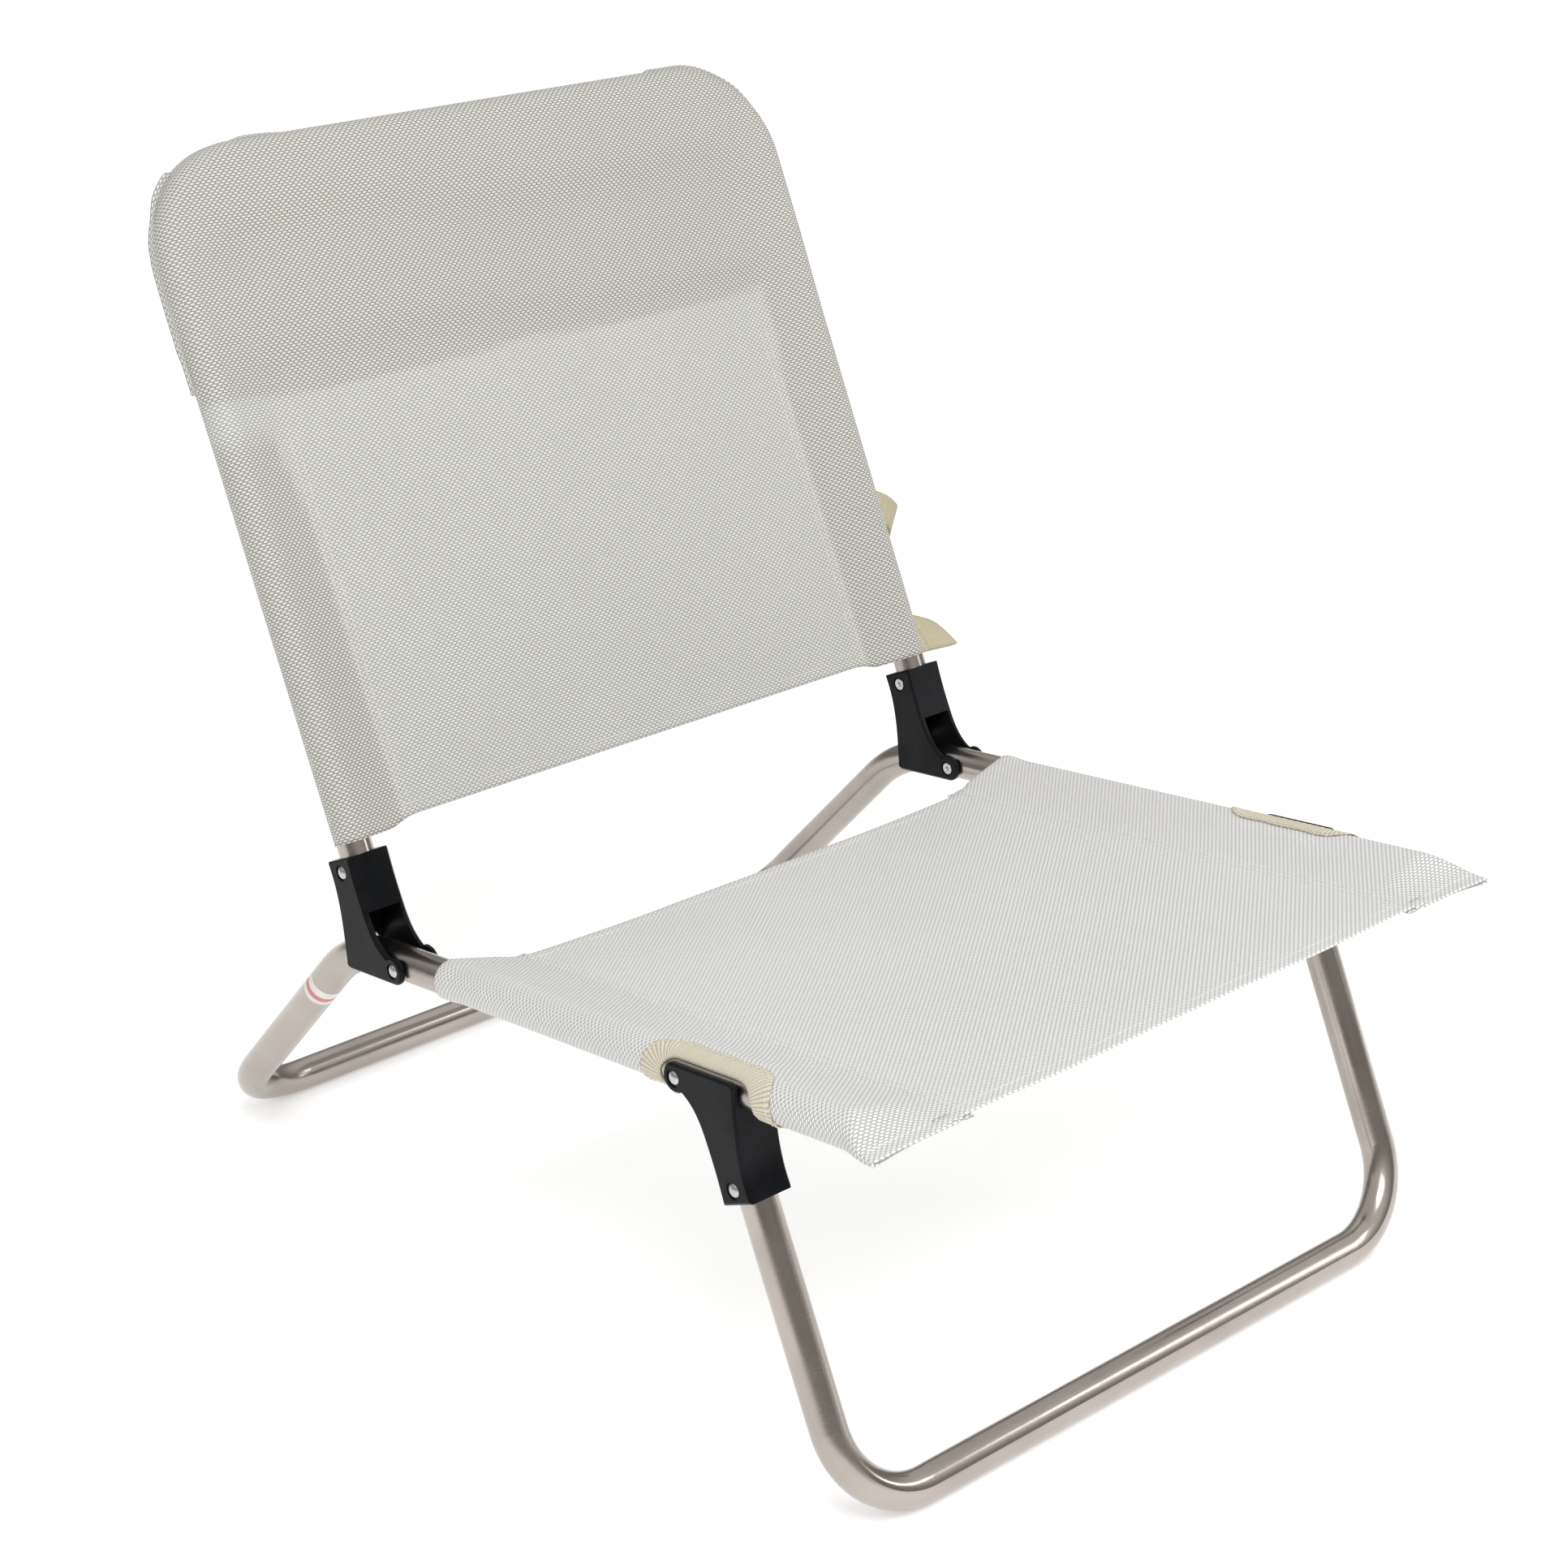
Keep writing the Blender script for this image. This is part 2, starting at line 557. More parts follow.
def back_cloth():
    """The front of the back, its sleeves, and the hood that folds over the top bar to a rear flap."""
    gather = Cloth()
    bar_girth = hood_radius * math.pi / 2
    for side, _ in TWO_SIDES:
        x, along = half_patch(straight_rows, 0)
        flat_x, flat_a = spread_round_edge(x, along)
        x = pull_to_sleeve(x, along)
        # the panel's lower edge is a little above the sleeves'
        on_panel = 1 - ease(x, back_seam - 0.012, back_seam + 0.012)
        raised = (back_panel_start - back_sleeve_start) * on_panel * (1 - ease(along, 0.082, 0.11))
        along = along + raised
        flat_a = flat_a + raised
        ahead = front_ahead(x, along) + hood_waves(side * x, along)
        width_in = back_seam + 0.012 * ease(along, 0.28, 0.35) * (1 if side < 0 else 0.4)
        margin = ease(x, width_in - 0.0015, width_in + 0.0015)
        if side < 0:
            margin = margin * (1 - ease(along, 0.325, 0.345))
        hooded = ease(along + 0.004 * np.sin(x * 14), back_line - 0.002, back_line + 0.002)
        doubled = np.maximum(margin, hooded)
        points = back_place(side * x, along, ahead)
        gather.add(points, np.stack([side * flat_x, flat_a], axis=-1), doubled, flip=side < 0)
        # rear flap of the hood
        x, along = half_patch(straight_rows, flap_row)
        flat_x, flat_a = spread_round_edge(x, along)
        x = pull_to_sleeve(x, along)
        distance = outline_distance(x, along)
        radius = edge_radius(along)
        rounded = np.sqrt(np.maximum(radius**2 - np.maximum(distance, 0) ** 2, 0))
        rear = -np.where(distance > 0, rounded, radius + flap_slack(side * x, along, -distance))
        points = back_place(side * x, along, rear)
        over = 2 * (back_length + bar_girth)
        gather.add(points, np.stack([side * flat_x, over - flat_a], axis=-1), 0.5, flip=side > 0)
        # the sleeve goes on behind the tube to its seam, and up inside the hood
        full = 2 * back_half_girth
        girth = np.concatenate([np.linspace(back_half_girth, full, 26), full + sewn_under])
        for low, high, tuck in ((0, flap_row + 1, 0.0), (flap_row, len(straight_rows) - 4, 0.0006)):
            rows = straight_rows[low:high]
            grid_a, grid_g = np.meshgrid(rows, girth, indexing="ij")
            radius = edge_radius(grid_a)
            if tuck:
                radius = np.minimum(radius, sleeve_radius + 0.0004) - tuck
            out, up = section(grid_g, radius, back_seam_inset, back_half_girth)
            inside = grid_g > full
            xs = np.where(inside, back_seam - (grid_g - full), back_seam + out)
            ups = np.where(inside | (grid_g >= full - 1e-9), -seam_drop, up)
            first = np.array(xs[:, 0])
            target = side_x + edge_radius(rows) - tuck
            fade = np.clip(1 - (grid_g - back_half_girth) / 0.02, 0, 1)
            xs = xs + (target - first)[:, None] * fade
            on_panel = 1 - ease(xs, back_seam - 0.012, back_seam + 0.012)
            lifted = (back_panel_start - back_sleeve_start) * on_panel * (1 - ease(grid_a, 0.082, 0.11))
            points = back_place(side * xs, grid_a + lifted, np.where(fade >= 1, 0, ups))
            flat = np.stack([side * (back_seam + grid_g), grid_a], axis=-1)
            gather.add(points, flat, 0.3, flip=side < 0)
    mesh = gather.mesh("back_cloth", weld=0.00004)
    piece = new_piece("back_cloth", mesh, "backrest")
    thicken(piece, cloth)
    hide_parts("back_sling", "back_hood")
    return piece


seam_widths = {
    # along the seam from the hood's lower edge, and how far it stands out there
    "left": (
        (0, 0), (0.003, 0.0028), (0.02, 0.0026), (0.032, 0.0009), (0.088, 0.0007), (0.106, 0.0024),
        (0.122, 0.0047), (0.14, 0.0049), (0.145, 0.001), (0.188, 0.0008), (0.2, 0.0025), (0.222, 0.0026),
        (0.238, 0.001), (0.246, 0),
    ),
    "right": (
        (0, 0), (0.003, 0.0007), (0.04, 0.0007), (0.045, 0.0025), (0.076, 0.0028), (0.132, 0.0047),
        (0.165, 0.0034), (0.19, 0.0026), (0.204, 0.0024), (0.207, 0),
    ),
}


def hood_seam(side, word):
    """The hood's side seam: two layers sewn together, standing out from the sleeve round the corner.

    In places it is rolled back behind the sleeve.
    """
    at, widths = np.array(seam_widths[word]).T
    run = np.linspace(0, at[-1], 180)
    width = np.interp(run, at, widths)
    for _ in range(2):
        width[1:-1] = (width[:-2] + 2 * width[1:-1] + width[2:]) / 4
    width = width + 0.00025 * np.sin(run * 160) * (width > 0.002)
    outer = corner_radius + hood_radius
    straight = back_length - corner_radius - hood_edge
    angle = np.clip((run - straight) / outer, 0, math.pi / 2)
    past = np.maximum(run - straight - outer * math.pi / 2, 0)
    edge_x = side_x - corner_radius + outer * np.cos(angle) - past
    edge_along = back_length - corner_radius + outer * np.sin(angle) - np.maximum(straight - run, 0)
    rolled = 0.0045 * (1 - ease(width, 0.001, 0.003)) + 0.0012 * np.sin(run * 35)
    gather = Cloth()
    rows, flats = [], []
    layers = ((-1.5, 1.0), (-0.5, 1.0), (0.3, 0.95), (0.7, 0.9), (0.93, 0.6), (1, 0))
    profile = layers + tuple((out, -thick) for out, thick in layers[-2::-1])
    for out, thick in profile:
        reach = width * out if out > 0 else 0.0012 * out
        x = edge_x + np.cos(angle) * reach
        along = edge_along + np.sin(angle) * reach
        rows.append(back_place(side * x, along, thick * 0.0009 - rolled * max(out, 0) - 0.0012))
        flats.append(np.stack([run, np.full(len(run), out * 0.005 + (0.02 if thick < 0 else 0))], axis=-1))
    gather.add(np.stack(rows), np.stack(flats), 0.4, flip=side > 0)
    piece = new_piece(f"hood_seam_{word}", gather.mesh(f"hood_seam_{word}"), "backrest")
    thicken(piece, 0.0004)
    return piece


# ---- carry strap ----
strap_edges = {
    # upper edge, then lower edge: out from the side tube, behind it, and along the back
    "lower": (
        ((-0.006, 0.013, 0.112), (-0.006, 0.013, 0.082)),
        ((0.014, 0.0128, 0.112), (0.014, 0.0125, 0.082)),
        ((0.024, 0.012, 0.11), (0.034, 0.01, 0.0805)),
        ((0.038, 0.011, 0.103), (0.05, 0.0085, 0.0795)),
        ((0.049, 0.013, 0.095), (0.06, 0.012, 0.0795)),
        ((0.052, 0.021, 0.092), (0.061, 0.021, 0.08)),
        ((0.045, 0.031, 0.097), (0.052, 0.031, 0.081)),
        ((0.028, 0.0375, 0.106), (0.034, 0.0385, 0.082)),
        ((0.002, 0.0393, 0.112), (0.002, 0.0393, 0.082)),
    ),
    "upper": (
        ((-0.006, 0.013, 0.202), (-0.006, 0.013, 0.172)),
        ((0.008, 0.0128, 0.202), (0.01, 0.013, 0.172)),
        ((0.023, 0.011, 0.203), (0.019, 0.015, 0.176)),
        ((0.034, 0.01, 0.196), (0.027, 0.018, 0.179)),
        ((0.044, 0.014, 0.187), (0.038, 0.024, 0.174)),
        ((0.043, 0.024, 0.183), (0.044, 0.034, 0.166)),
        ((0.028, 0.036, 0.19), (0.031, 0.0385, 0.165)),
        ((0.002, 0.0392, 0.202), (0.002, 0.0392, 0.172)),
    ),
}


def carry_strap():
    """Webbing sewn to the right sleeve in two places, standing out in two loops with slack between."""
    gather = Cloth()
    seams = []
    half = strap_width / 2
    across = np.linspace(-1, 1, 9)
    for word in ("lower", "upper"):
        edges = np.array(strap_edges[word])
        stops = np.arange(len(edges))
        at = np.linspace(0, stops[-1], 64)
        lines = np.stack([[np.interp(at, stops, edges[:, e, k]) for k in range(3)] for e in (1, 0)])
        for _ in range(10):
            lines[:, :, 1:-1] = (lines[:, :, :-2] + 2 * lines[:, :, 1:-1] + lines[:, :, 2:]) / 4
        low, high = lines[0].T[:, None], lines[1].T[:, None]
        place = low + (high - low) * ((across + 1) / 2)[None, :, None]
        # the webbing's ribs are counted over the same length in both loops
        run = np.linspace(0, lower_loop, len(at))
        cup = 0.0007 * (1 - across**2) * ease(run, 0.02, 0.04)[:, None] * (1 - ease(run, 0.08, 0.1))[:, None]
        points = back_place(side_x + place[..., 0] + cup, place[..., 2], -place[..., 1])
        flat = np.stack(np.broadcast_arrays(run[:, None], across * half), axis=-1)
        gather.add(points, flat, 0.0)
        for out in (0.021, 0.0245, 0.028):
            row = int(np.argmin(np.abs(place[:32, 4, 0] - out)))
            for face in (1, -1):
                seam = points[row] + face * strap_thickness * 0.55 * back_out
                seams.append((seam[:-1] * 0.97 + seam[1:] * 0.03, np.tile(face * back_out, (8, 1))))
    # the slack between the two loops, hanging behind the sleeve
    start, end = strap_lower - half, strap_upper + half
    run = np.linspace(start, end, 40)
    sway = 0.0025 * np.sin((run - start) / (end - start) * math.pi)
    across = np.linspace(0, 1, 9)
    x = side_x + 0.002 + strap_width * across[None, :] + 0 * run[:, None]
    behind = strap_depth - 0.0008 - sway[:, None] + 0.0006 * np.cos(across * 2 * math.pi)[None, :]
    points = back_place(x, run[:, None] + 0 * x, -behind)
    flat = np.stack(np.broadcast_arrays(run[:, None] + 0 * x, (across - 0.5) * strap_width + 0 * x), axis=-1)
    gather.add(points, flat, 0.0)
    piece = new_piece("strap_webbing", gather.mesh("strap_webbing"), "backrest")
    thicken(piece, strap_thickness)
    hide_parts("carry_strap")
    return piece, seams


# ---- stitching ----
def add_stitch(build, middle, direction, normal, length, radius):
    """One stitch: a short thread that dips at both ends."""
    direction, normal = Vector(direction).normalized(), Vector(normal).normalized()
    across = direction.cross(normal).normalized()
    rings = []
    shape = ((-0.5, -0.7, 0.5), (-0.36, 0.35, 0.9), (0, 0.75, 1), (0.36, 0.35, 0.9), (0.5, -0.7, 0.5))
    for share, lift, size in shape:
        spot = Vector(middle) + direction * share * length + normal * lift * radius
        ring = []
        for turn in range(6):
            angle = turn * math.pi / 3
            offset = across * math.cos(angle) + normal * math.sin(angle)
            ring.append(build.verts.new(spot + offset * radius * size))
        rings.append(ring)
    for one, two in zip(rings[:-1], rings[1:]):
        for k in range(6):
            build.faces.new((one[k], one[(k + 1) % 6], two[(k + 1) % 6], two[k]))
    build.faces.new(rings[0][::-1])
    build.faces.new(rings[-1])


def stitch_rows(name, body, lines, material, pitch=0.0042, radius=0.00032):
    """lines are (points, normals) along each row of stitching, on the cloth's outer face."""
    build = bmesh.new()
    for points, normals in lines:
        points, normals = np.array(points, float), np.array(normals, float)
        steps = np.concatenate([[0], np.cumsum(np.linalg.norm(np.diff(points, axis=0), axis=1))])
        count = int(steps[-1] / pitch)
        for k in range(count):
            at = (k + 0.5) * pitch
            spot = [np.interp(at, steps, points[:, i]) for i in range(3)]
            ahead = [np.interp(min(at + 0.001, steps[-1]), steps, points[:, i]) for i in range(3)]
            normal = [np.interp(at, steps, normals[:, i]) for i in range(3)]
            add_stitch(build, spot, np.array(ahead) - np.array(spot), normal, pitch * 0.72, radius)
    mesh = bpy.data.meshes.new(name)
    for face in build.faces:
        face.smooth = True
    build.to_mesh(mesh)
    build.free()
    mesh.materials.append(material)
    return new_piece(name, mesh, body)


def seat_stitching(material):
    lines = []
    for side, _ in TWO_SIDES:
        along = np.linspace(seat_panel_start + 0.004, seat_panel_end - 0.002, 80)
        for inset, wander in ((0.0045, 0.0012), (0.0095, 0.0008)):
            across = seat_seam - inset + wander * np.sin(along * 40)
            x, up = seat_surface(across, along)
            lines.append((seat_place(side * x, along, up + stitch_lift), np.tile(seat_up, (80, 1))))
    panel = np.linspace(-seat_seam + 0.004, seat_seam - 0.004, 90)
    start, end = seat_rows(np.abs(panel))
    for along in (end - hem_stitch, start + hem_stitch):
        up = seat_surface(np.abs(panel), along)[1]
        lines.append((seat_place(panel, along, up + stitch_lift), np.tile(seat_up, (90, 1))))
    for side, _ in TWO_SIDES:
        across = np.linspace(seat_seam + 0.004, seat_seam + seat_half_girth - 0.004, 20)
        along = np.full(20, seat_flap_end - hem_stitch)
        x, up = seat_surface(across, along)
        lines.append((seat_place(side * x, along, up + stitch_lift), np.tile(seat_up, (20, 1))))
    return stitch_rows("seat_stitching", "seat_frame", lines, material)


def back_stitching(material):
    lines = []
    for side, _ in TWO_SIDES:
        along = np.linspace(back_panel_start + 0.003, 0.335, 70)
        for inset in (0.0035, 0.0085):
            x = back_seam - inset + 0.0008 * np.sin(along * 50)
            ahead = front_ahead(x, along) + hood_waves(side * x, along)
            lines.append((back_place(side * x, along, ahead + stitch_lift), np.tile(back_out, (70, 1))))
    x = np.linspace(-back_seam + 0.004, back_seam - 0.004, 100)
    along = np.full(100, back_panel_start + 0.0075)
    ahead = front_ahead(np.abs(x), along)
    lines.append((back_place(x, along, ahead + stitch_lift), np.tile(back_out, (100, 1))))
    x = np.linspace(-side_x + 0.004, side_x - 0.004, 110)
    along = np.full(110, hood_edge + 0.008)
    rear = -(edge_radius(along) + flap_slack(x, along, side_x - np.abs(x)) + stitch_lift)
    lines.append((back_place(x, along, rear), np.tile(-back_out, (110, 1))))
    return stitch_rows("back_stitching", "backrest", lines, material)


def binding_stitching(side, word, material):
    girth, along, out_girth, out_along, _ = gap_outline(160)
    g = girth + out_girth * (binding_width - edge_stitch)
    s = along + out_along * (binding_width - edge_stitch)
    x, up = seat_over(seat_seam + g, s, 0.00165)
    base_x, base_up = seat_surface(seat_seam + g, s)
    points = seat_place(side * x, s, up)
    normals = points - seat_place(side * base_x, s, base_up)
    name = f"binding_stitching_{word}"
    return stitch_rows(name, "seat_frame", [(points, normals)], material, pitch=0.0032, radius=0.00028)


# ---- shader building ----
def put(tree, socket, value):
    if isinstance(value, bpy.types.NodeSocket):
        tree.links.new(value, socket)
    else:
        socket.default_value = value


def calc(tree, operation, *values):
    node = tree.nodes.new("ShaderNodeMath")
    node.operation = operation
    for socket, value in zip(node.inputs, values):
        put(tree, socket, value)
    return node.outputs[0]


def spread(tree, value, low, high, new_low=0.0, new_high=1.0, smooth=True):
    node = tree.nodes.new("ShaderNodeMapRange")
    node.interpolation_type = "SMOOTHSTEP" if smooth else "LINEAR"
    for name, number in zip(("From Min", "From Max", "To Min", "To Max"), (low, high, new_low, new_high)):
        node.inputs[name].default_value = number
    put(tree, node.inputs["Value"], value)
    return node.outputs["Result"]


def mix_colour(tree, factor, first, second):
    node = tree.nodes.new("ShaderNodeMix")
    node.data_type = "RGBA"
    put(tree, node.inputs["Factor"], factor)
    put(tree, node.inputs["A"], first)
    put(tree, node.inputs["B"], second)
    return node.outputs["Result"]


def new_group(name, inputs, outputs):
    """An empty node group with its sockets, and its input and output nodes."""
    group = bpy.data.node_groups.new(name, "ShaderNodeTree")
    for label, kind, default in inputs:
        socket = group.interface.new_socket(label, in_out="INPUT", socket_type=kind)
        if default is not None:
            socket.default_value = default
    for label, kind in outputs:
        group.interface.new_socket(label, in_out="OUTPUT", socket_type=kind)
    return group, group.nodes.new("NodeGroupInput").outputs, group.nodes.new("NodeGroupOutput").inputs


def use_group(tree, group, **values):
    node = tree.nodes.new("ShaderNodeGroup")
    node.node_tree = group
    for label, value in values.items():
        put(tree, node.inputs[label.replace("_", " ")], value)
    return node.outputs


def make_weave_group():
    """Brick-like weave: rows of long beads across the cloth, each row half a bead on from the last."""
    floats = "NodeSocketFloat"
    group, given, out = new_group(
        "bead weave",
        [("Cloth", "NodeSocketVector", None), ("Bead Pitch", floats, 0.004), ("Row Pitch", floats, 0.00163)],
        [("Height", floats), ("Yarn", floats), ("Bead Tone", floats)],
    )
    split = group.nodes.new("ShaderNodeSeparateXYZ")
    group.links.new(given["Cloth"], split.inputs[0])
    across = calc(group, "DIVIDE", split.outputs["X"], given["Bead Pitch"])
    along = calc(group, "DIVIDE", split.outputs["Y"], given["Row Pitch"])
    row = calc(group, "FLOOR", along)
    odd = calc(group, "FLOORED_MODULO", row, 2.0)
    shifted = calc(group, "MULTIPLY_ADD", odd, 0.5, across)
    in_bead = calc(group, "SUBTRACT", calc(group, "FRACT", shifted), 0.5)
    in_row = calc(group, "SUBTRACT", calc(group, "FRACT", along), 0.5)
    from_middle = calc(group, "ABSOLUTE", in_bead)
    end_fall = calc(group, "POWER", calc(group, "DIVIDE", from_middle, 0.39), 4.0)
    side_fall = calc(group, "POWER", calc(group, "DIVIDE", calc(group, "ABSOLUTE", in_row), 0.49), 2.0)
    body = calc(group, "SUBTRACT", calc(group, "SUBTRACT", 1.0, end_fall), side_fall)
    bead = calc(group, "SQRT", calc(group, "MAXIMUM", body, 0.0))
    to_end = calc(group, "DIVIDE", calc(group, "SUBTRACT", 0.5, from_middle), 0.17)
    hump = calc(group, "SUBTRACT", 1.0, calc(group, "MULTIPLY", to_end, to_end))
    cross = calc(group, "MULTIPLY", calc(group, "MAXIMUM", hump, 0.0), 0.42)
    group.links.new(calc(group, "MAXIMUM", bead, cross), out["Height"])
    group.links.new(spread(group, calc(group, "MAXIMUM", bead, cross), 0.12, 0.8), out["Yarn"])
    cell = group.nodes.new("ShaderNodeCombineXYZ")
    group.links.new(calc(group, "FLOOR", shifted), cell.inputs["X"])
    group.links.new(row, cell.inputs["Y"])
    speck = group.nodes.new("ShaderNodeTexWhiteNoise")
    speck.noise_dimensions = "2D"
    group.links.new(cell.outputs[0], speck.inputs["Vector"])
    group.links.new(speck.outputs["Value"], out["Bead Tone"])
    return group


def make_rib_group():
    """Webbing: fine ribs across its length, with the small diagonal picks of its yarns."""
    floats = "NodeSocketFloat"
    group, given, out = new_group(
        "webbing ribs",
        [("Cloth", "NodeSocketVector", None), ("Rib Pitch", floats, 0.0016), ("Pick Pitch", floats, 0.0011)],
        [("Height", floats), ("Crest", floats)],
    )
    split = group.nodes.new("ShaderNodeSeparateXYZ")
    group.links.new(given["Cloth"], split.inputs[0])
    rib = calc(group, "DIVIDE", split.outputs["X"], given["Rib Pitch"])
    pick = calc(group, "DIVIDE", split.outputs["Y"], given["Pick Pitch"])
    odd = calc(group, "FLOORED_MODULO", calc(group, "FLOOR", rib), 2.0)
    pick = calc(group, "MULTIPLY_ADD", odd, 0.5, pick)
    rib_wave = calc(group, "ABSOLUTE", calc(group, "SINE", calc(group, "MULTIPLY", rib, math.pi)))
    pick_wave = calc(group, "ABSOLUTE", calc(group, "SINE", calc(group, "MULTIPLY", pick, math.pi)))
    height = calc(group, "MULTIPLY", rib_wave, calc(group, "MULTIPLY_ADD", pick_wave, 0.5, 0.5))
    group.links.new(height, out["Height"])
    group.links.new(spread(group, height, 0.1, 0.75), out["Crest"])
    return group


def make_wear_group():
    """Soft mottling and handling marks, from two sizes of noise."""
    floats = "NodeSocketFloat"
    group, given, out = new_group(
        "handling marks",
        [("Place", "NodeSocketVector", None), ("Coarse", floats, 8.0), ("Fine", floats, 400.0)],
        [("Mottle", floats), ("Grain", floats)],
    )
    coarse = group.nodes.new("ShaderNodeTexNoise")
    coarse.inputs["Detail"].default_value = 3
    fine = group.nodes.new("ShaderNodeTexNoise")
    fine.inputs["Detail"].default_value = 2
    for node, label in ((coarse, "Coarse"), (fine, "Fine")):
        group.links.new(given["Place"], node.inputs["Vector"])
        group.links.new(given[label], node.inputs["Scale"])
    group.links.new(spread(group, coarse.outputs["Fac"], 0.3, 0.7), out["Mottle"])
    group.links.new(fine.outputs["Fac"], out["Grain"])
    return group


weave_group = make_weave_group()
rib_group = make_rib_group()
wear_group = make_wear_group()


def new_material(name):
    material = bpy.data.materials.new(name)
    material.use_nodes = True
    tree = material.node_tree
    return material, tree, tree.nodes["Principled BSDF"].inputs


def cloth_place(tree):
    node = tree.nodes.new("ShaderNodeUVMap")
    node.uv_map = "cloth"
    return node.outputs["UV"]


def object_place(tree):
    return tree.nodes.new("ShaderNodeTexCoord").outputs["Object"]


def bump(tree, surface, height, distance, strength=1.0):
    node = tree.nodes.new("ShaderNodeBump")
    node.inputs["Strength"].default_value = strength
    node.inputs["Distance"].default_value = distance
    put(tree, node.inputs["Height"], height)
    tree.links.new(node.outputs["Normal"], surface["Normal"])


def sling_material(name, yarn, single_gap, double_gap, double_yarn):
    """Coated yarn: bright beads over gaps that darken where the cloth is doubled."""
    material, tree, surface = new_material(name)
    place = cloth_place(tree)
    weave = use_group(tree, weave_group, Cloth=place)
    marks = use_group(tree, wear_group, Place=place, Coarse=9.0, Fine=700.0)
    doubled = tree.nodes.new("ShaderNodeAttribute")
    doubled.attribute_name = "doubled"
    gap = mix_colour(tree, doubled.outputs["Fac"], single_gap, double_gap)
    bead = mix_colour(tree, doubled.outputs["Fac"], yarn, double_yarn)
    dim = tuple(c * 0.86 for c in yarn[:3]) + (1,)
    bead = mix_colour(tree, calc(tree, "MULTIPLY", weave["Bead Tone"], 0.30), bead, dim)
    bead = mix_colour(tree, calc(tree, "MULTIPLY", marks["Mottle"], 0.22), bead, dim)
    put(tree, surface["Base Color"], mix_colour(tree, weave["Yarn"], gap, bead))
    put(tree, surface["Roughness"], spread(tree, weave["Height"], 0, 1, 0.75, 0.42, smooth=False))
    surface["Specular IOR Level"].default_value = 0.4
    surface["Sheen Weight"].default_value = 0.08
    bump(tree, surface, weave["Height"], 0.00042)
    return material


def webbing_material(name, light, dark, rib, pick):
    material, tree, surface = new_material(name)
    place = cloth_place(tree)
    ribs = use_group(tree, rib_group, Cloth=place, Rib_Pitch=rib, Pick_Pitch=pick)
    marks = use_group(tree, wear_group, Place=place, Coarse=25.0, Fine=900.0)
    colour = mix_colour(tree, ribs["Crest"], dark, light)
    shade = tuple(c * 0.8 for c in light[:3]) + (1,)
    colour = mix_colour(tree, calc(tree, "MULTIPLY", marks["Mottle"], 0.3), colour, shade)
    put(tree, surface["Base Color"], colour)
    put(tree, surface["Roughness"], spread(tree, marks["Grain"], 0.3, 0.7, 0.62, 0.8))
    surface["Sheen Weight"].default_value = 0.15
    bump(tree, surface, ribs["Height"], 0.0003)
    return material


def metal_material(name, colour, rough, rough_range, coarse, fine, depth):
    """Bare or anodised aluminium with handling marks."""
    material, tree, surface = new_material(name)
    marks = use_group(tree, wear_group, Place=object_place(tree), Coarse=coarse, Fine=fine)
    shade = tuple(c * 0.86 for c in colour[:3]) + (1,)
    put(tree, surface["Base Color"], mix_colour(tree, marks["Mottle"], colour, shade))
    both = calc(tree, "MULTIPLY_ADD", marks["Grain"], 0.5, calc(tree, "MULTIPLY", marks["Mottle"], 0.5))
    put(tree, surface["Roughness"], spread(tree, both, 0.2, 0.8, rough, rough + rough_range, smooth=False))
    surface["Metallic"].default_value = 1.0
    bump(tree, surface, marks["Grain"], depth)
    return material


def plastic_material(name, colour, rough, coarse, fine=1600.0, depth=0.00003, specular=0.5):
    """Moulded plastic with a fine spark-eroded grain."""
    material, tree, surface = new_material(name)
    marks = use_group(tree, wear_group, Place=object_place(tree), Coarse=coarse, Fine=fine)
    worn = tuple(min(1, c * 1.5 + 0.004) for c in colour[:3]) + (1,)
    put(tree, surface["Base Color"], mix_colour(tree, marks["Mottle"], colour, worn))
    put(tree, surface["Roughness"], spread(tree, marks["Grain"], 0.3, 0.7, rough, rough + 0.12))
    surface["Specular IOR Level"].default_value = specular
    bump(tree, surface, marks["Grain"], depth)
    return material


def thread_material():
    material, tree, surface = new_material("sewing_thread")
    marks = use_group(tree, wear_group, Place=object_place(tree), Coarse=60.0, Fine=2500.0)
    colour = mix_colour(tree, marks["Grain"], (0.70, 0.68, 0.60, 1), (0.86, 0.85, 0.80, 1))
    put(tree, surface["Base Color"], colour)
    surface["Roughness"].default_value = 0.6
    bump(tree, surface, marks["Grain"], 0.0001)
    return material


def label_material():
    """A white paper label with one plain red band."""
    material, tree, surface = new_material("paper_label")
    place = object_place(tree)
    low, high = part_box("leg_label")
    down = Vector((0, high.y - low.y, low.z - high.z)).normalized()
    middle = (low + high) / 2
    off = tree.nodes.new("ShaderNodeVectorMath")
    off.operation = "SUBTRACT"
    put(tree, off.inputs[0], place)
    off.inputs[1].default_value = middle
    dot = tree.nodes.new("ShaderNodeVectorMath")
    dot.operation = "DOT_PRODUCT"
    tree.links.new(off.outputs[0], dot.inputs[0])
    dot.inputs[1].default_value = down
    from_band = calc(tree, "ABSOLUTE", calc(tree, "SUBTRACT", dot.outputs["Value"], 0.0015))
    band = spread(tree, from_band, 0.0021, 0.0025, 1, 0)
    marks = use_group(tree, wear_group, Place=place, Coarse=120.0, Fine=1500.0)
    paper = mix_colour(tree, marks["Mottle"], (0.80, 0.78, 0.75, 1), (0.70, 0.67, 0.63, 1))
    put(tree, surface["Base Color"], mix_colour(tree, band, paper, (0.62, 0.20, 0.20, 1)))
    put(tree, surface["Roughness"], spread(tree, marks["Grain"], 0.3, 0.7, 0.4, 0.55))
    bump(tree, surface, marks["Grain"], 0.00005)
    return material


